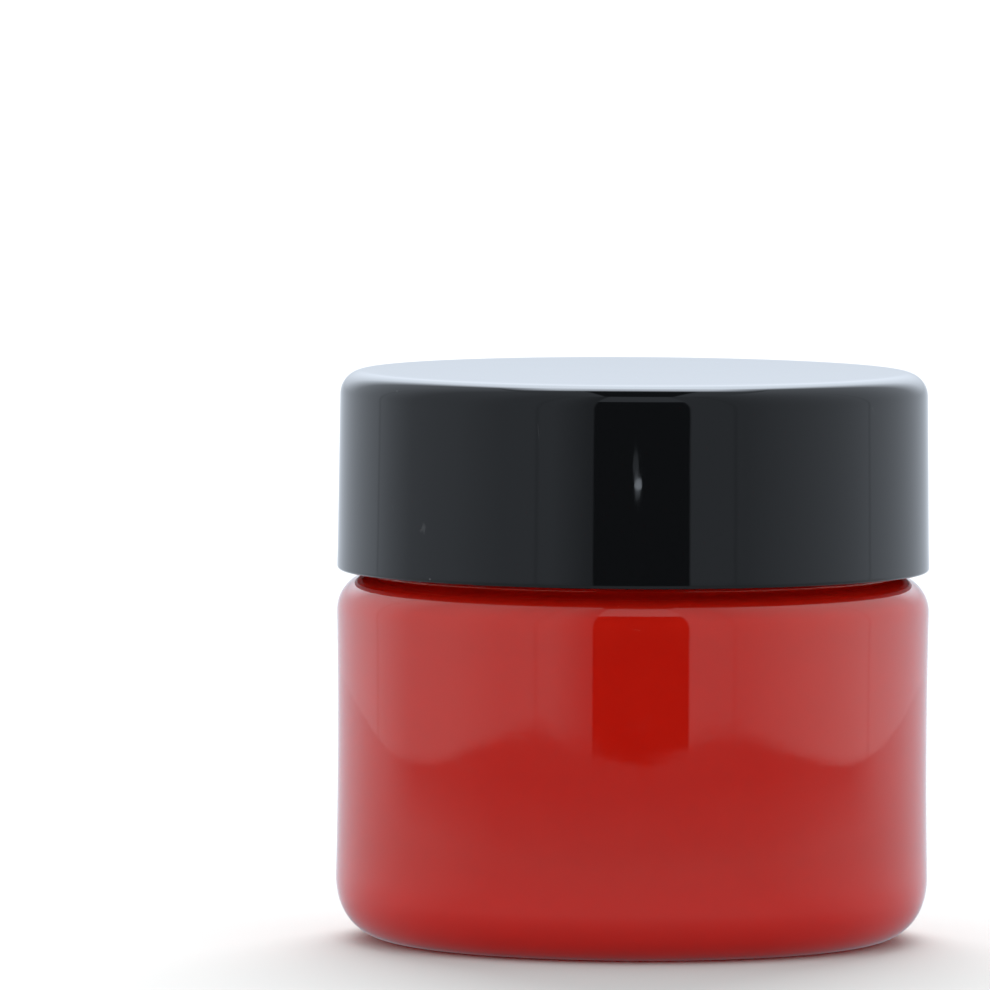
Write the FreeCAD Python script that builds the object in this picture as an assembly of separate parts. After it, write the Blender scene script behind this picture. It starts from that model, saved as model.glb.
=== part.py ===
import FreeCAD, Part
import math
import os

from FreeCAD import Vector

# A 60 ml paint jar: a clear straight-sided jar with a screw neck, its fill of paint, a loose foam
# liner, and a black screw cap with a smooth skirt as wide as the jar.
#
# Millimetres, +Z up. The origin is the centre of the jar's underside, on the plane that it stands on.
# Each round piece is an outline in the (radius, height) plane, turned about Z. The two screw threads
# are lofted along right-hand helices of one pitch, so the cap clears the neck all the way off.

# Driving dimensions of the jar.
BODY_R = 25.0
SHOULDER_Z = 30.9
HEEL_R = 4.5
SHOULDER_R = 2.55
WALL = 1.2
WAIST = 0.12  # how far the side wall is drawn in at mid-height
FOOT_IN_R = 18.2  # the ring that the jar stands on runs from here out to the heel
PUSH_UP_R = 16.0
PUSH_UP_EDGE_Z = 1.0
PUSH_UP_Z = 1.6
INSIDE_PUSH_UP_R = 16.3  # the same two rings of the base, on the inside
INSIDE_FOOT_R = 18.7
GATE_R = 1.1
GATE_H = 0.35

# The neck and its finish, a 48 mm screw neck.
NECK_R = 22.3
MOUTH_R = 21.0
RIM_Z = 45.4
RIM_R = 0.4
NECK_ROOT_R = 0.15
MOUTH_FLARE_R = 1.2

# The thread, which the neck and the cap share.
PITCH = 25.4 / 6
THREAD_DEPTH = 1.15
THREAD_BURY = 0.3  # how far a thread's foot goes into the wall that carries it
NECK_THREAD_FOOT = 2.2
NECK_THREAD_CREST = 0.8
NECK_THREAD_START_Z = 37.2
NECK_THREAD_TURN = (0.0, 450.0)
CAP_THREAD_FOOT = 2.0
CAP_THREAD_CREST = 0.7
CAP_THREAD_TURN = (20.0, 400.0)
THREAD_DROP = 1.5  # the closed cap's thread lies this far below the neck's
FADE_DEG = 30.0  # over which a thread fades in and out
STEP_DEG = 10.0  # between the sections of a thread
FADED_SHARE = 0.03  # the part of its depth that a thread starts and ends with

# The cap.
CAP_GAP = 0.3  # between the closed cap and the shoulder
CAP_BOTTOM_Z = SHOULDER_Z + CAP_GAP
CAP_TOP_Z = 48.0
CAP_EDGE_R = 1.85
CAP_TOP_OUT_R = 24.8
CAP_FOOT_R = 0.3
CAP_BORE_R = 23.8
CAP_LEAD_R = 24.15
CAP_LEAD_H = 0.6
CAP_CORNER_R = 0.25
BEAD_IN_R = 23.3
BEAD_H = 0.6

# The liner and the paint.
LINER_R = 23.45
LINER_T = 1.0
SEAT_GAP = 0.02  # between faces that press on each other when the cap is closed
PAINT_Z = 37.2
PAINT_GAP = 0.03


def at(r, z):
    """A point of an outline, in the XZ plane."""
    return Vector(r, 0, z)


def line(start, end):
    return Part.LineSegment(at(*start), at(*end)).toShape()


def bow(start, through, end):
    """A circular arc through three points."""
    return Part.Arc(at(*start), at(*through), at(*end)).toShape()


def on_circle(centre, radius, degrees):
    """A point of a circle, its angle counted from outward towards up."""
    a = math.radians(degrees)
    return centre[0] + radius * math.cos(a), centre[1] + radius * math.sin(a)


def round_off(centre, radius, first, last):
    """An arc about a centre, between two angles in degrees."""
    ends = [on_circle(centre, radius, d) for d in (first, (first + last) / 2, last)]
    return bow(*ends)


def dome(top_z, edge):
    """An arc from the axis down to an edge point, centred on the axis so that it turns into a sphere."""
    rise = top_z - edge[1]
    radius = (edge[0] ** 2 + rise**2) / (2 * rise)
    return round_off((0, top_z - radius), radius, 90, math.degrees(math.acos(edge[0] / radius)))


def turned(edges):
    """The solid that a closed outline makes when it is turned about Z."""
    wire = Part.Wire(Part.__sortEdges__(edges))
    return Part.Face(wire).revolve(Vector(0, 0, 0), Vector(0, 0, 1), 360)


def joined(edges):
    """Adds the straight run wherever one edge of a chain doesn't start where the last one ended."""
    chain = []
    for edge in edges:
        if chain:
            gap = chain[-1].valueAt(chain[-1].LastParameter), edge.valueAt(edge.FirstParameter)
            if gap[0].distanceToPoint(gap[1]) > 1e-6:
                chain.append(Part.LineSegment(*gap).toShape())
        chain.append(edge)
    return chain


def thread(foot_r, crest_r, foot_width, crest_width, start_z, turn):
    """A helical ridge from foot_r to crest_r, as a solid that fades out at both ends.

    start_z is the height of its centre line at 0 degrees, and turn its first and last angle.
    """
    first, last = turn
    steps = round((last - first) / STEP_DEG)
    depth = crest_r - foot_r
    flank = (foot_width - crest_width) / 2 / abs(depth)
    root_r = foot_r - math.copysign(THREAD_BURY, depth)
    root_half = foot_width / 2 + THREAD_BURY * flank
    sections = []
    for i in range(steps + 1):
        degrees = first + (last - first) * i / steps
        grown = min(1.0, (degrees - first) / FADE_DEG, (last - degrees) / FADE_DEG)
        share = FADED_SHARE + (1 - FADED_SHARE) * grown * grown * (3 - 2 * grown)
        top_r = foot_r + depth * share
        top_half = (foot_width + (crest_width - foot_width) * share) / 2
        z = start_z + PITCH * degrees / 360
        corners = [
            at(root_r, z - root_half),
            at(top_r, z - top_half),
            at(top_r, z + top_half),
            at(root_r, z + root_half),
        ]
        wire = Part.makePolygon(corners + corners[:1])
        wire.rotate(Vector(0, 0, 0), Vector(0, 0, 1), degrees)
        sections.append(wire)
    return Part.makeLoft(sections, True, False)


def wall_arcs(inset):
    """The heel, the drawn-in side and the shoulder, at a distance inside the jar's outer face."""
    heel = (BODY_R - HEEL_R, HEEL_R)
    shoulder = (BODY_R - SHOULDER_R, SHOULDER_Z - SHOULDER_R)
    half = (shoulder[1] - heel[1]) / 2
    lean = math.degrees(2 * WAIST / half)
    mid = (BODY_R - WAIST - inset, heel[1] + half)
    low = on_circle(heel, HEEL_R - inset, lean)
    high = on_circle(shoulder, SHOULDER_R - inset, -lean)
    return [
        round_off(heel, HEEL_R - inset, -90, lean),
        bow(low, mid, high),
        round_off(shoulder, SHOULDER_R - inset, -lean, 90),
    ]


def floor_of_inside(inset):
    """The inside of the push-up base, from the axis out to the heel, at a distance inside the jar."""
    edge = (INSIDE_PUSH_UP_R, PUSH_UP_EDGE_Z + inset)
    return [
        dome(PUSH_UP_Z + inset, edge),
        line(edge, (INSIDE_FOOT_R, inset)),
    ]


def inside(inset, top_z):
    """The jar's inner face from the middle of its floor to a height in the neck, at a distance inside it."""
    flare = (MOUTH_R + MOUTH_FLARE_R, SHOULDER_Z)
    radius = MOUTH_FLARE_R + (inset - WALL)
    wall = flare[0] - radius
    return joined(
        floor_of_inside(inset)
        + wall_arcs(inset)
        + [round_off(flare, radius, -90, -180), line((wall, flare[1]), (wall, top_z))]
    )


def make_jar():
    outer = joined(
        [
            dome(PUSH_UP_Z, (PUSH_UP_R, PUSH_UP_EDGE_Z)),
            line((PUSH_UP_R, PUSH_UP_EDGE_Z), (FOOT_IN_R, 0)),
        ]
        + wall_arcs(0)
        + [
            round_off((NECK_R + NECK_ROOT_R, SHOULDER_Z + NECK_ROOT_R), NECK_ROOT_R, -90, -180),
            round_off((NECK_R - RIM_R, RIM_Z - RIM_R), RIM_R, 0, 90),
            round_off((MOUTH_R + RIM_R, RIM_Z - RIM_R), RIM_R, 90, 180),
        ]
    )
    inner = inside(WALL, RIM_Z - RIM_R)
    body = turned(outer + inner + [line((0, PUSH_UP_Z), (0, PUSH_UP_Z + WALL))])
    gate = Part.makeCylinder(GATE_R, GATE_H + WALL / 2, Vector(0, 0, PUSH_UP_Z - GATE_H))
    ridge = thread(
        NECK_R,
        NECK_R + THREAD_DEPTH,
        NECK_THREAD_FOOT,
        NECK_THREAD_CREST,
        NECK_THREAD_START_Z,
        NECK_THREAD_TURN,
    )
    return body.fuse([gate, ridge])


def make_paint():
    """The fill, up to a flat surface in the neck."""
    chain = inside(WALL + PAINT_GAP, PAINT_Z)
    bottom = (0, PUSH_UP_Z + WALL + PAINT_GAP)
    wall = MOUTH_R - PAINT_GAP
    return turned(chain + [line((wall, PAINT_Z), (0, PAINT_Z)), line((0, PAINT_Z), bottom)])


def make_liner():
    """A loose foam disc that seals on the rim."""
    return Part.makeCylinder(LINER_R, LINER_T, Vector(0, 0, RIM_Z + SEAT_GAP))


def make_cap():
    edge = (CAP_TOP_OUT_R - CAP_EDGE_R, CAP_TOP_Z - CAP_EDGE_R)
    foot = (BODY_R - CAP_FOOT_R, CAP_BOTTOM_Z + CAP_FOOT_R)
    draft = math.degrees(math.atan((BODY_R - CAP_TOP_OUT_R) / (edge[1] - foot[1])))
    ceiling_z = RIM_Z + LINER_T + 2 * SEAT_GAP
    bead_z = RIM_Z - BEAD_H
    shell = joined(
        [
            line((CAP_BORE_R, CAP_BOTTOM_Z + CAP_LEAD_H), (CAP_LEAD_R, CAP_BOTTOM_Z)),
            round_off(foot, CAP_FOOT_R, -90, draft),
            round_off(edge, CAP_EDGE_R, draft, 90),
            line((0, CAP_TOP_Z), (0, ceiling_z)),
            round_off((CAP_BORE_R - CAP_CORNER_R, ceiling_z - CAP_CORNER_R), CAP_CORNER_R, 90, 0),
            line((CAP_BORE_R, RIM_Z), (BEAD_IN_R, bead_z + BEAD_H / 2)),
            line((BEAD_IN_R, bead_z + BEAD_H / 2), (CAP_BORE_R, bead_z)),
            line((CAP_BORE_R, bead_z), (CAP_BORE_R, CAP_BOTTOM_Z + CAP_LEAD_H)),
        ]
    )
    ridge = thread(
        CAP_BORE_R,
        CAP_BORE_R - THREAD_DEPTH,
        CAP_THREAD_FOOT,
        CAP_THREAD_CREST,
        NECK_THREAD_START_Z - THREAD_DROP,
        CAP_THREAD_TURN,
    )
    return turned(shell).fuse(ridge)


def main():
    os.makedirs("parts", exist_ok=True)
    pieces = {"jar": make_jar, "paint": make_paint, "liner": make_liner, "cap": make_cap}
    for name, make in pieces.items():
        shape = make()
        shape.exportStep(os.path.join("parts", name + ".step"))
        box = shape.optimalBoundingBox()
        print(
            f"{name}: solids {len(shape.Solids)}, valid {shape.isValid()}, volume {shape.Volume / 1000:.2f} ml,"
            f" radius {box.XMax:.3f}, height {box.ZMin:.3f} to {box.ZMax:.3f}"
        )


main()
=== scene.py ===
import math

import bpy
import numpy as np
from mathutils import Matrix, Vector


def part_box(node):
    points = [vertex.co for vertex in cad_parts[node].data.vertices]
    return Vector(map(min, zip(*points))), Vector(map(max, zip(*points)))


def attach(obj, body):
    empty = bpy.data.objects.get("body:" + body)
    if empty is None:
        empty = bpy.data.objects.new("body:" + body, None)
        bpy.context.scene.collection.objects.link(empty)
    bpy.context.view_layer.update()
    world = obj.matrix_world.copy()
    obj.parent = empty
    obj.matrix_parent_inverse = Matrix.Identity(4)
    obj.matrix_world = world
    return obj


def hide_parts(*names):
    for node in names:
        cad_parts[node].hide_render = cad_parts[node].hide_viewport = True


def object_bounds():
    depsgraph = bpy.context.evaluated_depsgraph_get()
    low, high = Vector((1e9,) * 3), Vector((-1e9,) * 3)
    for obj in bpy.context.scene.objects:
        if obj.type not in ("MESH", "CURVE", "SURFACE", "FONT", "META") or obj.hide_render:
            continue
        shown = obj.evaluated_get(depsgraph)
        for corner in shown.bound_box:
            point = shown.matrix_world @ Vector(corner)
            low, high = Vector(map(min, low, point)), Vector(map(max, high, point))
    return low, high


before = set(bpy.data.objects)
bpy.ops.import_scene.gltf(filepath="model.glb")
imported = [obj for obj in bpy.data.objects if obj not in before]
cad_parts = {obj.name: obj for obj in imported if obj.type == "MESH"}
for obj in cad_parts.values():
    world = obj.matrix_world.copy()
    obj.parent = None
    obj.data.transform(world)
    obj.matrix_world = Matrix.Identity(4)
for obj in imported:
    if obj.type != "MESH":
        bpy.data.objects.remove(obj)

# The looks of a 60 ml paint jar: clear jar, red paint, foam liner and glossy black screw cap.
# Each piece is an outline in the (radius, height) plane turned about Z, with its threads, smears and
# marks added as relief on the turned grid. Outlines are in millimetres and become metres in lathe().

MM = 0.001
CAD_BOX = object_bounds()

JAR_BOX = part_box("jar")
CAP_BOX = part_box("cap")
LINER_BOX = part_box("liner")
PAINT_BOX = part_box("paint")

# The jar, from the frame and from the design's driving dimensions.
BODY_R = min(-CAD_BOX[0].x, CAD_BOX[1].x, -CAD_BOX[0].y, CAD_BOX[1].y) / MM
RIM_Z = JAR_BOX[1].z / MM
SHOULDER_Z = 30.9
HEEL_R = 4.5
SHOULDER_R = 2.55
SOFT_HEEL = (4.9, 5.4)  # the heel's width and height where its bend eases in and out
SOFT_POWER = 2.25
SOFT_SHOULDER_R = 3.15  # the outer face's shoulder, a little rounder than the design's
WALL = 1.2
WAIST = 0.12
FOOT_IN_R = 18.2
PUSH_UP_R = 16.0
PUSH_UP_EDGE_Z = 1.0
PUSH_UP_Z = 1.6
INSIDE_PUSH_UP_R = 16.3
INSIDE_FOOT_R = 18.7
GATE_R = 1.1
GATE_H = 0.35
GATE_EDGE_R = 0.2
GATE_ROOT_R = 0.15
NECK_R = 22.3
MOUTH_R = 21.0
RIM_R = 0.4
NECK_ROOT_R = 0.15
MOUTH_FLARE_R = 1.2

# The thread, as in the design.
PITCH = 25.4 / 6
THREAD_DEPTH = 1.15
THREAD_DROP = 1.5
FADE_DEG = 30.0
NECK_THREAD = {"foot": 2.2, "crest": 0.8, "start_z": 37.2, "turn": (0.0, 450.0)}
CAP_THREAD = {"foot": 2.0, "crest": 0.7, "start_z": 37.2 - THREAD_DROP, "turn": (20.0, 400.0)}
THREAD_ROW = 0.13  # height between the grid's rows where a thread runs

# The cap, from the frame and from the design's driving dimensions.
CAP_BOTTOM_Z = CAP_BOX[0].z / MM
CAP_TOP_Z = CAP_BOX[1].z / MM
CAP_EDGE_R = 2.0  # a little rounder than the design's
CAP_TOP_OUT_R = 24.8
CAP_FOOT_R = 0.3
CAP_FLARE = 0.02  # how far the foot of the skirt stands out from its draft
CAP_FLARE_H = 2.2
NICK_H = 0.45  # nicks reach this far up from the foot of the skirt
SCRATCH_STRETCH = (420, 420, 120)  # scratch features per metre, so they run up and down
CAP_BORE_R = 23.8
CAP_LEAD_R = 24.15
CAP_LEAD_H = 0.6
CAP_LEAD_EDGE_R = 0.06
BEAD_IN_R = 23.3
BEAD_H = 0.6
CEILING_GAP = 0.02
CEILING_CORNER_R = 0.25

# The liner and the paint.
LINER_R = LINER_BOX[1].x / MM
LINER_LOW_Z = LINER_BOX[0].z / MM
LINER_HIGH_Z = LINER_BOX[1].z / MM
LINER_DENT = 0.06
LINER_EDGE_R = 0.14
PAINT_Z = PAINT_BOX[1].z / MM
SURFACE_Z = PAINT_Z - 1.0  # the settled level; the film and the meniscus reach above it
WETTED = 0.05  # the paint's skin lies this far into the wall, because wet paint leaves no air behind it
FILM = 0.12
MENISCUS_H = 0.5
MENISCUS_REACH = 1.1
SWIRL_H = 0.16
SWIRL_TURNS = 3.2
PEAK_H = 0.32  # where the stirring stick came out
PEAK_AT = (1.2, -0.8)
PEAK_SPREAD = 3.5
DRIFT_H = 0.05
WALL_IOR = 1.92  # above the plastic's own 1.57, for its outer and inner faces shine together
HEEL_PAINTED_GLOW = 0.07  # painted glow: the paint near the heel glows, as painted light for the light that a thick clear heel gathers
HEEL_PAINTED_GLOW_Z = 8.5  # below this height the paint's colour is painted brighter and it glows, painted light for the thick heel
HEEL_PAINTED_GLOW_LOW_Z = 1.5  # and from here down the painted light is brightest

SEGMENTS = 192
RANDOM_SEED = 7


# ---------------------------------------------------------------- outlines and meshes

def arc(centre, radius, first, last, steps):
    """Points of an arc, its angles in degrees counted from outward towards up."""
    angles = np.radians(np.linspace(first, last, steps + 1))
    return [(centre[0] + radius * math.cos(a), centre[1] + radius * math.sin(a)) for a in angles]


def run(start, end, step):
    """Evenly spaced points along a straight run."""
    steps = max(1, math.ceil(math.dist(start, end) / step))
    return [
        (start[0] + (end[0] - start[0]) * i / steps, start[1] + (end[1] - start[1]) * i / steps)
        for i in range(steps + 1)
    ]


def joined(*stretches):
    """One outline from several stretches, without the points that two stretches share."""
    points = [p for stretch in stretches for p in stretch]
    kept = points[:1]
    for p in points[1:]:
        if math.dist(p, kept[-1]) > 1e-4:
            kept.append(p)
    return kept


def dome(top_z, edge, steps):
    """A shallow sphere cap, from the axis out to its edge."""
    rise = top_z - edge[1]
    radius = (edge[0] ** 2 + rise**2) / (2 * rise)
    spread = math.degrees(math.asin(edge[0] / radius))
    return arc((0, top_z - radius), radius, 90, 90 - spread, steps)


def ease(t):
    """0 to 1 with level ends."""
    t = np.clip(t, 0, 1)
    return t * t * (3 - 2 * t)


def lathe(name, outline, relief=None, segments=SEGMENTS):
    """The closed mesh of an outline that starts and ends on the axis, turned about Z.

    relief(theta, r, z), if given, takes grids of angle, radius and height and gives the new r and z.
    Such a mesh closes flat across its last ring.
    """
    rows = np.array(outline)[1:-1]
    theta = np.linspace(0, 2 * math.pi, segments, endpoint=False)
    theta_grid, r = np.meshgrid(theta, rows[:, 0])
    z = np.repeat(rows[:, 1:2], segments, axis=1)
    if relief:
        r, z = relief(theta_grid, r, z)
    first = (0, 0, outline[0][1])
    last = (0, 0, float(z[-1].mean()) if relief else outline[-1][1])
    grid = np.stack([r * np.cos(theta_grid), r * np.sin(theta_grid), z], axis=-1).reshape(-1, 3)
    verts = np.vstack([grid, [first], [last]]) * MM
    count = len(rows)
    south, north = count * segments, count * segments + 1
    faces = []
    for j in range(segments):
        k = (j + 1) % segments
        faces.append((south, k, j))
        faces.append((north, (count - 1) * segments + j, (count - 1) * segments + k))
        for i in range(count - 1):
            a, b = i * segments, (i + 1) * segments
            faces.append((a + j, a + k, b + k, b + j))
    mesh = bpy.data.meshes.new(name)
    mesh.from_pydata(verts.tolist(), [], faces)
    mesh.validate()
    mesh.shade_smooth()
    piece = bpy.data.objects.new(name, mesh)
    bpy.context.scene.collection.objects.link(piece)
    return piece


def paint_faces(piece, index, test):
    """Gives a material slot to the faces whose centre passes test(radius, height, normal), in mm."""
    for face in piece.data.polygons:
        c = face.center / MM
        if test(math.hypot(c.x, c.y), c.z, face.normal):
            face.material_index = index


def thread_height(theta, z, thread):
    """How high a thread stands at each point of a grid, in mm, with soft flanks and faded ends."""
    first, last = thread["turn"]
    height = np.zeros_like(z)
    for whole_turn in range(math.ceil(last / 360) + 1):
        degrees = np.degrees(theta) + 360 * whole_turn
        share = ease(np.minimum(degrees - first, last - degrees) / FADE_DEG)
        off = np.abs(z - thread["start_z"] - PITCH * degrees / 360)
        crest = thread["foot"] + (thread["crest"] - thread["foot"]) * share
        flank = np.maximum(thread["foot"] - crest, 0.05) / 2
        height = np.maximum(height, THREAD_DEPTH * share * ease((thread["foot"] / 2 - off) / flank))
    return height


def thread_rows(r, low, high, thread_low, thread_high, step=0.6):
    """Points up a cylinder, close together where its thread runs."""
    return joined(
        run((r, low), (r, thread_low), step),
        run((r, thread_low), (r, thread_high), THREAD_ROW),
        run((r, thread_high), (r, high), step),
    )


def soft_corner(r, size, steps):
    """A heel from the foot up to radius r whose bend eases in and out."""
    corner = []
    for t in np.linspace(0, math.pi / 2, 2 * steps + 1):
        across, down = abs(math.sin(t)) ** (2 / SOFT_POWER), abs(math.cos(t)) ** (2 / SOFT_POWER)
        corner.append((r - size[0] * (1 - across), size[1] * (1 - down)))
    return corner


def wall_stretch(inset, steps):
    """The heel, the drawn-in side and the shoulder, at a distance inside the jar's outer face."""
    if inset == 0:
        heel_curve = soft_corner(BODY_R, SOFT_HEEL, steps)
        heel_top, shoulder_r = SOFT_HEEL[1], SOFT_SHOULDER_R
    else:
        heel_curve = arc((BODY_R - HEEL_R, HEEL_R), HEEL_R - inset, -90, 0, steps)
        heel_top, shoulder_r = HEEL_R, SHOULDER_R
    shoulder = (BODY_R - shoulder_r, SHOULDER_Z - shoulder_r)
    half = (shoulder[1] - heel_top) / 2
    mid_z = heel_top + half
    lean = math.degrees(2 * WAIST / half)
    heights = np.linspace(heel_top, shoulder[1], 2 * steps)[1:-1]
    side = [(BODY_R - inset - WAIST * (1 - ((h - mid_z) / half) ** 2), h) for h in heights]
    return joined(
        heel_curve,
        side,
        arc(shoulder, shoulder_r - inset, -lean, 90, steps),
    )


def floor_stretch(inset):
    """The inside of the pushed-up base, from the axis out to the heel."""
    edge = (INSIDE_PUSH_UP_R, PUSH_UP_EDGE_Z + inset)
    return joined(dome(PUSH_UP_Z + inset, edge, 14), run(edge, (INSIDE_FOOT_R, inset), 0.5))


def inside_stretch(inset, top_z, step):
    """The jar's inner face from the middle of its floor to a height in the neck."""
    flare = (MOUTH_R + MOUTH_FLARE_R, SHOULDER_Z)
    radius = MOUTH_FLARE_R + (inset - WALL)
    return joined(
        floor_stretch(inset),
        wall_stretch(inset, 12),
        arc(flare, radius, -90, -180, 10),
        run((flare[0] - radius, flare[1]), (flare[0] - radius, top_z), step),
    )


# ---------------------------------------------------------------- the pieces

def make_jar():
    """The clear jar: gate mark, pushed-up base, foot ring, heel, side, shoulder, threaded neck and rim."""
    gate_z = PUSH_UP_Z - GATE_H
    foot_slope = [
        (PUSH_UP_R + (FOOT_IN_R - PUSH_UP_R) * t, PUSH_UP_EDGE_Z * (1 - float(ease(t))))
        for t in np.linspace(0, 1, 9)
    ]
    neck_foot = SHOULDER_Z + NECK_ROOT_R
    ridge_low = NECK_THREAD["start_z"] - NECK_THREAD["foot"] / 2
    ridge_high = ridge_low + NECK_THREAD["foot"] + PITCH * NECK_THREAD["turn"][1] / 360
    outside = joined(
        run((0, gate_z), (GATE_R - GATE_EDGE_R, gate_z), 0.3),
        arc((GATE_R - GATE_EDGE_R, gate_z + GATE_EDGE_R), GATE_EDGE_R, -90, 0, 4),
        arc((GATE_R + GATE_ROOT_R, PUSH_UP_Z - GATE_ROOT_R), GATE_ROOT_R, 180, 90, 4),
        [p for p in dome(PUSH_UP_Z, (PUSH_UP_R, PUSH_UP_EDGE_Z), 24) if p[0] > GATE_R + 2 * GATE_ROOT_R],
        foot_slope,
        wall_stretch(0, 18),
        arc((NECK_R + NECK_ROOT_R, neck_foot), NECK_ROOT_R, -90, -180, 5),
        thread_rows(NECK_R, neck_foot, RIM_Z - RIM_R, ridge_low, ridge_high),
        arc((NECK_R - RIM_R, RIM_Z - RIM_R), RIM_R, 0, 90, 7),
        arc((MOUTH_R + RIM_R, RIM_Z - RIM_R), RIM_R, 90, 180, 7),
    )
    inner = inside_stretch(WALL, RIM_Z - RIM_R, 0.8)[::-1]

    def neck_thread(theta, r, z):
        on_neck = (np.abs(r - NECK_R) < 0.01) & (z > SHOULDER_Z)
        return r + np.where(on_neck, thread_height(theta, z, NECK_THREAD), 0), z

    return lathe("clear_jar", joined(outside, inner), neck_thread)


def make_paint():
    """The paint: wetted to the wall, with a smeared film round the neck and a stirred, settled surface."""
    random = np.random.default_rng(RANDOM_SEED)
    waves = [(n, random.uniform(0, 2 * math.pi), random.uniform(0.5, 1) / n) for n in (1, 2, 3, 5, 8)]
    wall_r = MOUTH_R + WETTED
    film_r = MOUTH_R - FILM
    film_top = PAINT_Z - 0.05
    body = inside_stretch(WALL - WETTED, SURFACE_Z, 0.8)
    climb = run((wall_r, SURFACE_Z), (wall_r, film_top), 0.15)
    back = run((film_r, film_top - 0.04), (film_r, SURFACE_Z + 0.1), 0.15)
    surface = [(film_r * (1 - t) ** 1.25, SURFACE_Z) for t in np.linspace(0, 1, 70)]
    outline = joined(body, climb, back, surface)

    def smear_and_swirl(theta, r, z):
        contact = sum(a * np.sin(n * theta + phase) for n, phase, a in waves)
        contact = 0.45 + 0.5 * np.clip(0.5 + contact / 2.2, 0, 1)
        in_film = (z > SURFACE_Z + 1e-4) & (r > film_r - 1e-3)
        z = np.where(in_film, SURFACE_Z + (z - SURFACE_Z) * contact, z)
        on_surface = (np.abs(z - SURFACE_Z) < 1e-4) & (r < film_r + 1e-3)
        meniscus = MENISCUS_H * contact * np.exp(-(film_r - r) / MENISCUS_REACH)
        share = r / film_r
        spiral = np.sin(2 * math.pi * SWIRL_TURNS * share**0.8 - theta + 0.25 * np.sin(2 * theta))
        calm = ease(share / 0.15) * ease((1 - share) / 0.3)
        swirl = SWIRL_H * spiral * calm * (1 - 0.4 * share)
        from_peak = (r * np.cos(theta) - PEAK_AT[0]) ** 2 + (r * np.sin(theta) - PEAK_AT[1]) ** 2
        peak = PEAK_H * np.exp(-from_peak / PEAK_SPREAD)
        drift = DRIFT_H * np.sin(2 * theta + 3 * share) * share * (1 - share)
        return r, z + np.where(on_surface, meniscus + swirl + peak + drift, 0)

    return lathe("red_paint", outline, smear_and_swirl)


def make_liner():
    """The foam liner: a punched disc with soft edges and the dent of the rim in its underside."""
    dent_in, dent_out = MOUTH_R + 0.15, NECK_R - 0.1
    flat = np.linspace(0, dent_in - 0.6, 12)
    dented = np.linspace(dent_in - 0.5, dent_out + 0.5, 22)
    low = []
    for r in np.concatenate([flat, dented]):
        depth = LINER_DENT * float(ease((r - dent_in + 0.25) / 0.3) * ease((dent_out + 0.25 - r) / 0.3))
        low.append((float(r), LINER_LOW_Z + depth))
    outline = joined(
        low,
        arc((LINER_R - LINER_EDGE_R, LINER_LOW_Z + LINER_EDGE_R), LINER_EDGE_R, -90, 0, 5),
        arc((LINER_R - LINER_EDGE_R, LINER_HIGH_Z - LINER_EDGE_R), LINER_EDGE_R, 0, 90, 5),
        run((LINER_R - LINER_EDGE_R, LINER_HIGH_Z), (0, LINER_HIGH_Z), 3.0),
    )
    return lathe("foam_liner", outline)


def make_cap():
    """The screw cap: ceiling, liner groove, bead, thread and lead-in inside; skirt, edge and top outside."""
    ceiling = LINER_HIGH_Z + CEILING_GAP
    corner = CEILING_CORNER_R
    bead_mid = RIM_Z - BEAD_H / 2
    first_turn, last_turn = CAP_THREAD["turn"]
    ridge_low = CAP_THREAD["start_z"] + PITCH * first_turn / 360 - CAP_THREAD["foot"] / 2
    ridge_high = CAP_THREAD["start_z"] + PITCH * last_turn / 360 + CAP_THREAD["foot"] / 2
    bead = [
        (CAP_BORE_R - (CAP_BORE_R - BEAD_IN_R) * float(ease(1 - abs(t))), bead_mid - t * BEAD_H / 2)
        for t in np.linspace(-1, 1, 13)
    ]
    edge = (CAP_TOP_OUT_R - CAP_EDGE_R, CAP_TOP_Z - CAP_EDGE_R)
    foot = (BODY_R - CAP_FOOT_R, CAP_BOTTOM_Z + CAP_FOOT_R)
    lead_edge = CAP_LEAD_EDGE_R
    skirt = []
    for t in np.linspace(0, 1, 34)[1:-1]:
        h = foot[1] + (edge[1] - foot[1]) * t
        draft_r = BODY_R - CAP_FLARE + (CAP_TOP_OUT_R - BODY_R + CAP_FLARE) * t
        skirt.append((draft_r + CAP_FLARE * float(1 - ease((h - foot[1]) / CAP_FLARE_H)), h))
    outline = joined(
        run((0, ceiling), (CAP_BORE_R - corner, ceiling), 3.0),
        arc((CAP_BORE_R - corner, ceiling - corner), corner, 90, 0, 4),
        bead,
        thread_rows(CAP_BORE_R, CAP_BOTTOM_Z + CAP_LEAD_H, RIM_Z - BEAD_H, ridge_low, ridge_high)[::-1],
        run((CAP_BORE_R, CAP_BOTTOM_Z + CAP_LEAD_H), (CAP_LEAD_R, CAP_BOTTOM_Z + lead_edge), 0.15),
        arc((CAP_LEAD_R + lead_edge, CAP_BOTTOM_Z + lead_edge), lead_edge, 180, 270, 3),
        arc(foot, CAP_FOOT_R, -90, 0, 7),
        skirt,
        arc(edge, CAP_EDGE_R, 1, 90, 22),
        run((edge[0], CAP_TOP_Z), (0, CAP_TOP_Z), 1.6),
    )

    def cap_thread(theta, r, z):
        in_bore = (np.abs(r - CAP_BORE_R) < 0.01) & (z < RIM_Z - BEAD_H)
        return r - np.where(in_bore, thread_height(theta, z, CAP_THREAD), 0), z

    return lathe("screw_cap", outline, cap_thread)


# ---------------------------------------------------------------- materials

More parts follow.
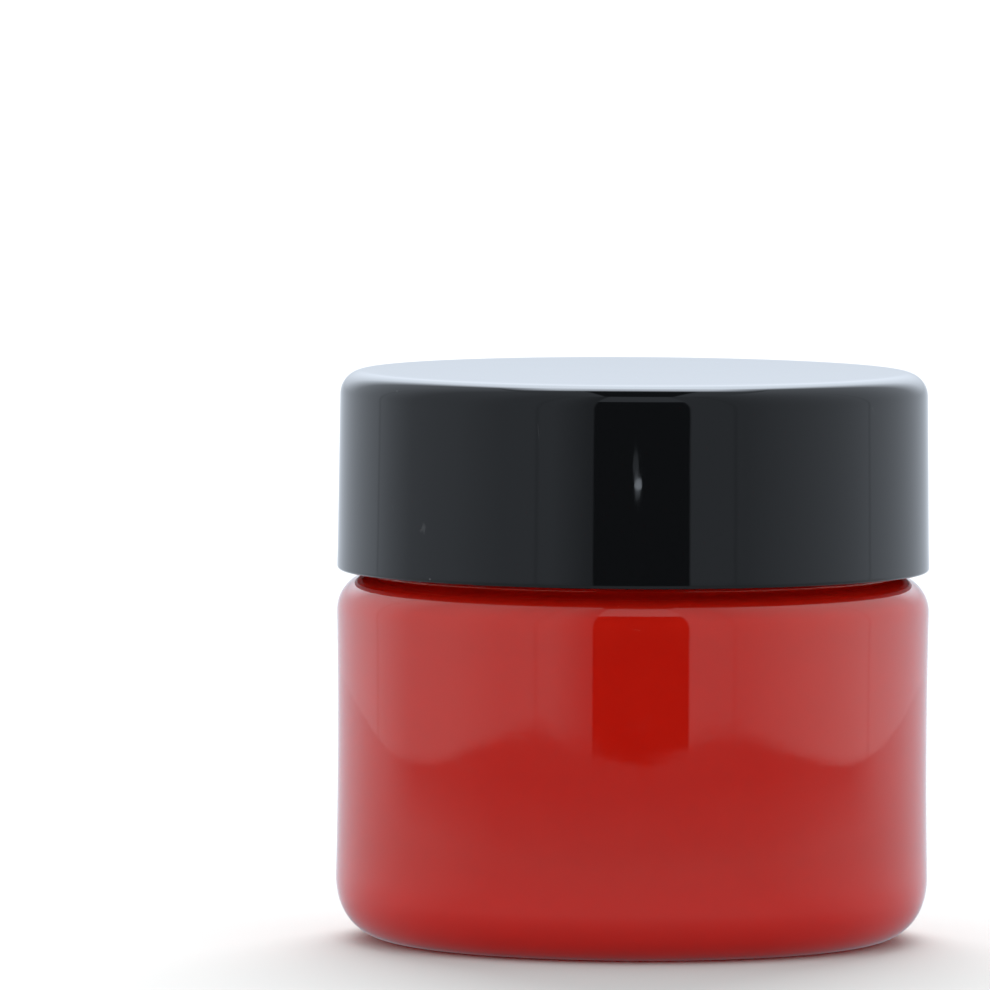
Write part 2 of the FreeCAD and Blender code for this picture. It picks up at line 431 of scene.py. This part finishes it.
class Nodes:
    """A material's node tree, with short ways to add and link its nodes."""

    def __init__(self, name):
        self.material = bpy.data.materials.new(name)
        self.material.use_nodes = True
        self.tree = self.material.node_tree
        self.shader = next(n for n in self.tree.nodes if n.type == "BSDF_PRINCIPLED")
        self.place = self.add("ShaderNodeTexCoord").outputs["Object"]

    def add(self, kind, **values):
        node = self.tree.nodes.new(kind)
        for key, value in values.items():
            setattr(node, key, value)
        return node

    def put(self, socket, value):
        """Links a socket into another one, or sets its number or colour."""
        if isinstance(value, bpy.types.NodeSocket):
            self.tree.links.new(value, socket)
        else:
            socket.default_value = value

    def set(self, **values):
        """Sets the shader's own sockets, with _ for each space in their names."""
        for key, value in values.items():
            self.put(self.shader.inputs[key.replace("_", " ")], value)

    def axes(self):
        """The object's own x, y and z in metres; on a piece at rest z is its height above the floor."""
        node = self.add("ShaderNodeSeparateXYZ")
        self.put(node.inputs["Vector"], self.place)
        return tuple(node.outputs)

    def stretched(self, scale):
        """The object's own coordinates, in units of 1 / scale."""
        node = self.add("ShaderNodeMapping")
        self.put(node.inputs["Vector"], self.place)
        node.inputs["Scale"].default_value = scale
        return node.outputs["Vector"]

    def noise(self, size, detail=3.0, distortion=0.0, vector=None):
        """Noise with features about size mm across, or size units of the vector that is given."""
        node = self.add("ShaderNodeTexNoise")
        self.put(node.inputs["Vector"], vector or self.place)
        node.inputs["Scale"].default_value = 1 / size if vector else 1 / (size * MM)
        node.inputs["Detail"].default_value = detail
        node.inputs["Distortion"].default_value = distortion
        return node.outputs["Fac"]

    def cells(self, size):
        """The distance from the middle of the nearest of cells about size mm across, in cell sizes."""
        node = self.add("ShaderNodeTexVoronoi")
        self.put(node.inputs["Vector"], self.place)
        node.inputs["Scale"].default_value = 1 / (size * MM)
        return node.outputs["Distance"]

    def ranged(self, value, low, high, to_low=0.0, to_high=1.0):
        """Maps low..high to to_low..to_high, held at both ends."""
        node = self.add("ShaderNodeMapRange")
        names = ("Value", "From Min", "From Max", "To Min", "To Max")
        for name, number in zip(names, (value, low, high, to_low, to_high)):
            self.put(node.inputs[name], number)
        return node.outputs["Result"]

    def math(self, operation, a, b=0.0):
        """One sum on two numbers or sockets, or on the first alone."""
        node = self.add("ShaderNodeMath", operation=operation)
        self.put(node.inputs[0], a)
        self.put(node.inputs[1], b)
        return node.outputs["Value"]

    def times(self, a, b):
        return self.math("MULTIPLY", a, b)

    def gap(self, value, middle=0.0):
        """How far a value is from a number, either way."""
        return self.math("ABSOLUTE", self.math("SUBTRACT", value, middle))

    def blend(self, share, a, b):
        """A colour between a and b."""
        node = self.add("ShaderNodeMix", data_type="RGBA")
        self.put(node.inputs["Factor"], share)
        self.put(node.inputs["A"], a)
        self.put(node.inputs["B"], b)
        return node.outputs["Result"]

    def bump(self, height, depth, below=None):
        """A bump whose height of 0 to 1 is depth mm deep."""
        node = self.add("ShaderNodeBump")
        node.inputs["Strength"].default_value = 1.0
        node.inputs["Distance"].default_value = depth * MM
        self.put(node.inputs["Height"], height)
        if below:
            self.put(node.inputs["Normal"], below)
        return node.outputs["Normal"]


def clear_plastic():
    """Clear moulded plastic: slow waves from blowing, and a haze of fine rubs that roughens it in places."""
    n = Nodes("clear_plastic")
    waves = n.noise(9.0, detail=1.0)
    rubs = n.noise(2.2, detail=4.0, distortion=0.5)
    smudges = n.noise(7.0, detail=3.0, distortion=0.6)
    rubbed = n.times(n.ranged(rubs, 0.55, 0.75), n.ranged(smudges, 0.45, 0.7))
    n.set(
        Base_Color=(0.985, 0.985, 0.98, 1),
        Transmission_Weight=1.0,
        IOR=WALL_IOR,
        Specular_Tint=(1.0, 0.81, 0.70, 1),
        Roughness=n.ranged(rubbed, 0, 1, 0.02, 0.10),
        Normal=n.bump(rubs, 0.0008, n.bump(waves, 0.008)),
    )
    return n.material


def wet_paint_behind_wall():
    """Paint that lies against the wall: no surface of its own shines, its pigment is faintly uneven, and
    near the heel its colour is painted brighter and it glows, as painted light.
    """
    n = Nodes("paint_behind_wall")
    uneven = n.noise(6.0, detail=4.0, distortion=1.2)
    # painted light: towards the heel the colour is painted brighter and the paint glows
    heel_painted_light = n.ranged(n.axes()[2], HEEL_PAINTED_GLOW_LOW_Z * MM, HEEL_PAINTED_GLOW_Z * MM, 1, 0)
    body = n.blend(uneven, (0.95, 0.020, 0.007, 1), (0.975, 0.027, 0.010, 1))
    n.set(
        # painted light near the heel: a brighter colour and a weak glow
        Base_Color=n.blend(heel_painted_light, body, (0.992, 0.014, 0.005, 1)),
        Emission_Color=(1.0, 0.012, 0.006, 1),
        Emission_Strength=n.times(heel_painted_light, HEEL_PAINTED_GLOW),
        Roughness=0.9,
        Specular_IOR_Level=0.0,
    )
    return n.material


def wet_paint_surface():
    """The free surface of wet acrylic paint: glossy, with a slightly duller skin in patches."""
    n = Nodes("paint_surface")
    uneven = n.noise(5.0, detail=4.0, distortion=1.5)
    skin = n.noise(2.2, detail=3.0)
    grain = n.noise(0.35, detail=2.0)
    n.set(
        Base_Color=n.blend(uneven, (0.42, 0.008, 0.004, 1), (0.50, 0.014, 0.007, 1)),
        Roughness=n.ranged(skin, 0.35, 0.7, 0.10, 0.24),
        Specular_IOR_Level=0.5,
        Coat_Weight=0.35,
        Coat_Roughness=0.05,
        Normal=n.bump(grain, 0.004, n.bump(skin, 0.05)),
    )
    return n.material


def black_gloss():
    """Polished black plastic with faint orange peel, hair scratches, dust and nicks along the lower edge."""
    n = Nodes("black_gloss")
    peel = n.noise(3.5, detail=2.0)
    scratch_field = n.noise(1.0, detail=0.5, vector=n.stretched(SCRATCH_STRETCH))
    lines = n.ranged(n.gap(scratch_field, 0.5), 0.0, 0.006, 1, 0)
    scratches = n.times(lines, n.ranged(n.noise(3.2, detail=1.0), 0.68, 0.74))
    smears = n.ranged(n.noise(8.0, detail=4.0, distortion=0.8), 0.42, 0.72)
    dusty = n.ranged(n.noise(13.0, detail=1.0), 0.56, 0.6)
    dust = n.times(n.ranged(n.cells(2.4), 0.035, 0.02), dusty)
    at_foot = n.ranged(n.axes()[2], CAP_BOTTOM_Z * MM, (CAP_BOTTOM_Z + NICK_H) * MM, 1, 0)
    knocked = n.ranged(n.noise(4.0, detail=1.0), 0.47, 0.53)
    nicks = n.times(n.ranged(n.cells(0.9), 0.13, 0.08), knocked)
    dust = n.math("MAXIMUM", dust, n.times(nicks, at_foot))
    marks = n.math("MAXIMUM", dust, n.times(scratches, 0.12))
    roughness = n.math("ADD", n.ranged(smears, 0, 1, 0.022, 0.055), n.times(scratches, 0.12))
    n.set(
        Base_Color=n.blend(marks, (0.0034, 0.0038, 0.0044, 1), (0.24, 0.25, 0.26, 1)),
        Roughness=n.math("ADD", roughness, n.times(dust, 0.4)),
        IOR=1.5,
        Normal=n.bump(scratches, -0.002, n.bump(peel, 0.004)),
    )
    return n.material


def black_satin():
    """The cap's unpolished inside."""
    n = Nodes("black_satin")
    grain = n.noise(0.25, detail=3.0)
    flow = n.noise(6.0, detail=2.0)
    n.set(
        Base_Color=n.blend(flow, (0.007, 0.007, 0.008, 1), (0.012, 0.012, 0.013, 1)),
        Roughness=n.ranged(grain, 0.3, 0.7, 0.28, 0.42),
        Normal=n.bump(grain, 0.006),
    )
    return n.material


def foam():
    """Closed-cell foam: fine cells, and a skin that shines a little where it was rolled."""
    n = Nodes("white_foam")
    cells = n.cells(0.32)
    cloud = n.noise(5.0, detail=3.0)
    n.set(
        Base_Color=n.blend(cloud, (0.80, 0.79, 0.76, 1), (0.87, 0.865, 0.84, 1)),
        Roughness=n.ranged(cloud, 0.3, 0.7, 0.55, 0.75),
        Normal=n.bump(cells, 0.03),
    )
    return n.material


# ---------------------------------------------------------------- assembly

def dress(piece, body, node, slot, *materials):
    """Lets a piece ride on its body in place of a CAD node, with its materials."""
    for material in materials:
        piece.data.materials.append(material)
    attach(piece, body)
    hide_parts(node)


jar = make_jar()
dress(jar, "jar", "jar", "clear_jar", clear_plastic())

paint = make_paint()
dress(paint, "jar", "paint", "red_paint", wet_paint_behind_wall(), wet_paint_surface())
paint_faces(paint, 1, lambda r, z, normal: z > SURFACE_Z - 0.2 and r < MOUTH_R - 0.02 and normal.z > -0.5)

liner = make_liner()
dress(liner, "liner", "liner", "white_foam", foam())

cap = make_cap()
dress(cap, "cap", "cap", "black_cap", black_gloss(), black_satin())
paint_faces(cap, 1, lambda r, z, normal: r < CAP_LEAD_R and z < LINER_HIGH_Z + 0.1)


# ---------------------------------------------------------------- floor, light and camera

CAMERA_DISTANCE = 1.1
CAMERA_HEIGHT = 0.106
CAMERA_ROLL_DEG = 0.28
CAMERA_CLIP = (0.05, 30.0)
SENSOR_MM = 36.0
WIDTH_SHARE = 0.5975  # the jar's width as a share of the frame's
RIGHT_SHARE = 0.1392  # how far right of the frame's middle the jar's middle is
DOWN_SHARE = 0.1610  # and how far below it

FLOOR_HALF = 6.0
FLOOR_Z = -0.00002  # just under the foot, so that the two faces don't flicker
SKY = 1.25
BACK_LIGHT = 4.6
BACK_LIGHT_FROM = (0.0, 0.8, 0.6)
BACK_LIGHT_SPREAD_DEG = 50


# A light tent that only reflections see. Seen from above it is a squarish oval round the jar, with its
# door, a dark slot, towards the camera (-Y). Bearings are in degrees from the camera's side, left negative.
# Strengths are the brightness that a mirror would show.
TENT_SIDE = 0.213
TENT_FRONT = 0.226
TENT_BACK = 0.290
TENT_SQUARENESS = 2.4
TENT_TOP = 0.50
TENT_TABLE_Z = 0.0001
TENT_SEGMENTS = 120
TENT_COLOUR = (0.91, 1.0, 1.12, 1)
BACK_WALL = 0.93
LEFT_WALL = 0.60
FRONT_WALL_LEFT = 0.48
FRONT_WALL_RIGHT = 0.41
DOOR_SHADE = 0.24  # a dim strip down the left side of the door
WALL_STOPS = (
    (-180, BACK_WALL), (-115, BACK_WALL), (-92, LEFT_WALL), (-70, LEFT_WALL), (-50, FRONT_WALL_LEFT),
    (-30, FRONT_WALL_LEFT), (-16, DOOR_SHADE), (22, FRONT_WALL_RIGHT), (42, FRONT_WALL_RIGHT),
    (100, BACK_WALL), (180, BACK_WALL),
)
TABLE_FRONT = 0.32
TABLE_SIDE = 0.50
TABLE_BEHIND_SIDE = 0.82
TABLE_BACK = 1.0
TABLE_STOPS = (
    (0, TABLE_FRONT), (50, TABLE_FRONT), (90, TABLE_SIDE), (130, TABLE_BEHIND_SIDE), (180, TABLE_BACK),
)
TABLE_EDGE_DIM = 0.55
TABLE_EDGE_SHARE = 0.75  # the dimming starts at this share of the tent's half width
TABLE_EDGE_ENDS = (88, 106)  # bearings between which the dark foot of the wall fades out
TABLE_PAINTED_SHADOW = (0.0235, 0.034)  # painted shadow of the jar: next to the jar the table is dimmed, in front more than at the sides
TABLE_PAINTED_SHADOW_DIM = (0.35, 0.8)
TABLE_PAINTED_SHADOW_ENDS = (30, 90)
WALL_FOOT_H = 0.0007  # the wall is darker within this height of its foot, where it meets the table
WALL_FOOT_DIM = 0.5
SEAMS = (-36, -113, 38, 100)
SEAM_WIDTH = 1.2
SEAM_DIM = 0.8
SLOT = (-14.9, 20.8)
SLOT_EDGE = 0.5
SLOT_LIGHT = 0.015
SLOT_TOP = 0.21
SLOT_TOP_EDGE = 0.002
ROOF_LIGHT = 0.55
LAMP_HALF = 33  # the lamp behind the tent's back wall: half its width in degrees
LAMP_EDGE = 9
LAMP_Z = (0.06, 0.50)  # it brightens the wall evenly from the lower height to the upper one
LAMP_GAIN = 7.0
LAMP_ROOF_Y = (0.040, 0.115)  # it shines through the roof too, from here back
LAMP_ROOF_X = (0.10, 0.20)  # and fades out between these distances to each side
LAMP_ROOF_FAR_Y = (0.20, 0.29)  # between these it brightens
LAMP_ROOF_LIGHT = (6.375, 8.625)
ROOF_SLIT_X = 0.012
ROOF_SLIT_HALF = 0.085
ROOF_SLIT_EDGE = 0.003
ROOF_SLIT_LIGHT = 0.03
LENS_GLINTS = (  # x, z, half width, half height and brightness of what shines in the door
    (0.0062, 0.0325, 0.0052, 0.00055, 3.9),
    (0.0030, 0.0344, 0.0042, 0.0016, 0.40),
)
GLINT_GAP = 0.004  # the glints hang this far inside the door
GLINT_SEGMENTS = 24


def plain_floor():
    """A pale matt floor, faintly uneven."""
    n = Nodes("pale_floor")
    cloud = n.noise(180.0, detail=2.0)
    n.set(
        Base_Color=n.blend(cloud, (0.525, 0.535, 0.535, 1), (0.535, 0.545, 0.545, 1)),
        Roughness=0.9,
        Specular_IOR_Level=0.1,
    )
    mesh = bpy.data.meshes.new("floor")
    h, z = FLOOR_HALF, FLOOR_Z
    mesh.from_pydata([(-h, -h, z), (h, -h, z), (h, h, z), (-h, h, z)], [], [(0, 1, 2, 3)])
    floor = bpy.data.objects.new("floor", mesh)
    bpy.context.scene.collection.objects.link(floor)
    mesh.materials.append(n.material)


def card(name, verts, faces, strength):
    """A card that is seen in reflections and nowhere else. strength(n) gives its brightness socket."""
    n = Nodes(name + "_light")
    n.tree.nodes.remove(n.shader)
    emission = n.add("ShaderNodeEmission")
    emission.inputs["Color"].default_value = TENT_COLOUR
    n.put(emission.inputs["Strength"], strength(n))
    output = next(x for x in n.tree.nodes if x.type == "OUTPUT_MATERIAL")
    n.put(output.inputs["Surface"], emission.outputs["Emission"])
    n.material.cycles.emission_sampling = "NONE"
    mesh = bpy.data.meshes.new(name)
    mesh.from_pydata(verts, [], faces)
    mesh.materials.append(n.material)
    piece = bpy.data.objects.new(name, mesh)
    bpy.context.scene.collection.objects.link(piece)
    for ray in ("camera", "diffuse", "transmission", "volume_scatter", "shadow"):
        setattr(piece, "visible_" + ray, False)


def tent_reach(bearing):
    """How far the tent's wall is from the middle at a bearing in radians."""
    depth = TENT_FRONT if math.cos(bearing) > 0 else TENT_BACK
    across = abs(math.sin(bearing) / TENT_SIDE) ** TENT_SQUARENESS
    along = abs(math.cos(bearing) / depth) ** TENT_SQUARENESS
    return (across + along) ** (-1 / TENT_SQUARENESS)


def bearing_of(n):
    """A socket for the bearing in degrees."""
    x, y, _ = n.axes()
    return n.times(n.math("ARCTAN2", x, n.times(y, -1.0)), math.degrees(1))


def reach_of(n):
    """A socket for the distance from the middle."""
    x, y, _ = n.axes()
    return n.math("SQRT", n.math("ADD", n.times(x, x), n.times(y, y)))


def stepped(n, value, stops):
    """A brightness that runs straight from stop to stop."""
    first, last = stops[0][0], stops[-1][0]
    node = n.add("ShaderNodeValToRGB")
    ramp = node.color_ramp
    n.put(node.inputs["Fac"], n.ranged(value, first, last))
    while len(ramp.elements) < len(stops):
        ramp.elements.new(1.0)
    for element, (place, level) in zip(ramp.elements, stops):
        element.position = (place - first) / (last - first)
        element.color = (level, level, level, 1)
    return node.outputs["Color"]


def wall_light(n):
    """The wall's brightness: its stops, its seams, its door slot and the lamp behind it."""
    bearing = bearing_of(n)
    z = n.axes()[2]
    light = stepped(n, bearing, WALL_STOPS)
    for seam in SEAMS:
        light = n.times(light, n.ranged(n.gap(bearing, seam), 0, SEAM_WIDTH, SEAM_DIM, 1))
    foot = n.ranged(n.gap(bearing), *TABLE_EDGE_ENDS, WALL_FOOT_DIM, 1)
    light = n.times(light, n.ranged(z, 0, WALL_FOOT_H, foot, 1))

    middle, half = (SLOT[0] + SLOT[1]) / 2, (SLOT[1] - SLOT[0]) / 2
    in_slot = n.ranged(n.gap(bearing, middle), half - SLOT_EDGE, half + SLOT_EDGE, 1, 0)
    beside_slot = n.ranged(in_slot, 0, 1, 1, 0)
    below_top = n.ranged(z, SLOT_TOP - SLOT_TOP_EDGE, SLOT_TOP + SLOT_TOP_EDGE, 1, 0)
    open_light = n.math("ADD", n.times(in_slot, ROOF_LIGHT), n.times(light, beside_slot))
    closed = n.ranged(n.times(in_slot, below_top), 0, 1, 1, 0)
    light = n.math("ADD", n.times(open_light, closed), SLOT_LIGHT)

    lamp_start = 180 - LAMP_HALF
    behind = n.ranged(n.gap(bearing), lamp_start - LAMP_EDGE, lamp_start + LAMP_EDGE)
    extra = n.ranged(z, *LAMP_Z, 0, LAMP_GAIN)
    return n.times(light, n.math("ADD", n.times(extra, behind), 1.0))


def table_light(n):
    """The table's brightness: darker in front, with a painted shadow of the jar next to it, and darker along
    the foot of the wall.
    """
    aside = n.gap(bearing_of(n))
    reach = reach_of(n)
    light = stepped(n, aside, TABLE_STOPS)
    # painted shadow of the jar on the table, next to the jar
    contact = n.ranged(aside, *TABLE_PAINTED_SHADOW_ENDS, *TABLE_PAINTED_SHADOW_DIM)
    light = n.times(light, n.ranged(reach, *TABLE_PAINTED_SHADOW, contact, 1))
    edge = n.ranged(aside, *TABLE_EDGE_ENDS, TABLE_EDGE_DIM, 1)
    return n.times(light, n.ranged(reach, TENT_SIDE * TABLE_EDGE_SHARE, TENT_SIDE, 1, edge))


def roof_light(n):
    """The roof's brightness, with a dark slit along its middle and the lamp over its back."""
    x, y, _ = n.axes()
    low, high = ROOF_SLIT_HALF - ROOF_SLIT_EDGE, ROOF_SLIT_HALF + ROOF_SLIT_EDGE
    roof = n.ranged(n.gap(x, ROOF_SLIT_X), low, high, ROOF_SLIT_LIGHT, ROOF_LIGHT)
    over_back = n.times(n.ranged(n.gap(x), *LAMP_ROOF_X, 1, 0), n.ranged(y, *LAMP_ROOF_Y))
    lamp = n.times(over_back, n.ranged(y, *LAMP_ROOF_FAR_Y, *LAMP_ROOF_LIGHT))
    return n.math("MAXIMUM", roof, lamp)


def ring_bearings(count):
    """Evenly spaced angles all the way round, in radians."""
    return [2 * math.pi * i / count for i in range(count)]


def light_tent():
    """The tent: its table, its wall, its roof and the glints in its door."""
    count = TENT_SEGMENTS
    ring = [(tent_reach(b) * math.sin(b), -tent_reach(b) * math.cos(b)) for b in ring_bearings(count)]
    low = [(x, y, TENT_TABLE_Z) for x, y in ring]
    high = [(x, y, TENT_TOP) for x, y in ring]
    sides = [(i, (i + 1) % count, count + (i + 1) % count, count + i) for i in range(count)]
    card("tent_wall", low + high, sides, wall_light)
    card("tent_table", low, [tuple(range(count))], table_light)
    card("tent_roof", high, [tuple(range(count))], roof_light)
    y = GLINT_GAP - TENT_FRONT
    for index, (x, z, half_w, half_h, level) in enumerate(LENS_GLINTS):
        turns = ring_bearings(GLINT_SEGMENTS)
        edge = [(x + half_w * math.cos(t), y, z + half_h * math.sin(t)) for t in turns]
        card(f"lens_glint_{index}", edge, [tuple(range(GLINT_SEGMENTS))], lambda n, level=level: level)


def sky():
    """An even white studio."""
    world = bpy.data.worlds.new("studio")
    world.use_nodes = True
    background = next(x for x in world.node_tree.nodes if x.type == "BACKGROUND")
    background.inputs["Color"].default_value = (1, 1, 1, 1)
    background.inputs["Strength"].default_value = SKY
    bpy.context.scene.world = world


def back_light():
    """A very wide lamp behind the jar, which draws its soft shadow forward.

    Reflections and clear parts don't see it.
    """
    data = bpy.data.lights.new("back_light", "SUN")
    data.energy = BACK_LIGHT
    data.angle = math.radians(BACK_LIGHT_SPREAD_DEG)
    lamp = bpy.data.objects.new("back_light", data)
    lamp.rotation_euler = Vector(BACK_LIGHT_FROM).to_track_quat("Z", "Y").to_euler()
    bpy.context.scene.collection.objects.link(lamp)
    lamp.visible_glossy = False
    lamp.visible_transmission = False


def aim_camera():
    """A long lens a little above the jar, rolled a little, with the jar low and right in the frame."""
    data = bpy.data.cameras.new("camera")
    camera = bpy.data.objects.new("camera", data)
    bpy.context.scene.collection.objects.link(camera)
    width = CAD_BOX[1].x - CAD_BOX[0].x
    middle = (CAD_BOX[0] + CAD_BOX[1]) / 2
    eye = Vector((0, -CAMERA_DISTANCE, CAMERA_HEIGHT))
    data.sensor_width = SENSOR_MM
    data.lens = data.sensor_width * (middle - eye).length * WIDTH_SHARE / width
    data.clip_start, data.clip_end = CAMERA_CLIP
    frame_width = width / WIDTH_SHARE
    roll = Matrix.Rotation(math.radians(CAMERA_ROLL_DEG), 3, "Z")
    facing = (middle - eye).to_track_quat("-Z", "Y").to_matrix() @ roll
    aim = middle - facing @ Vector((RIGHT_SHARE * frame_width, -DOWN_SHARE * frame_width, 0))
    camera.location = eye
    camera.rotation_euler = ((aim - eye).to_track_quat("-Z", "Y").to_matrix() @ roll).to_euler()
    bpy.context.scene.camera = camera


plain_floor()
light_tent()
sky()
back_light()
aim_camera()
bpy.context.scene.view_settings.view_transform = "Standard"
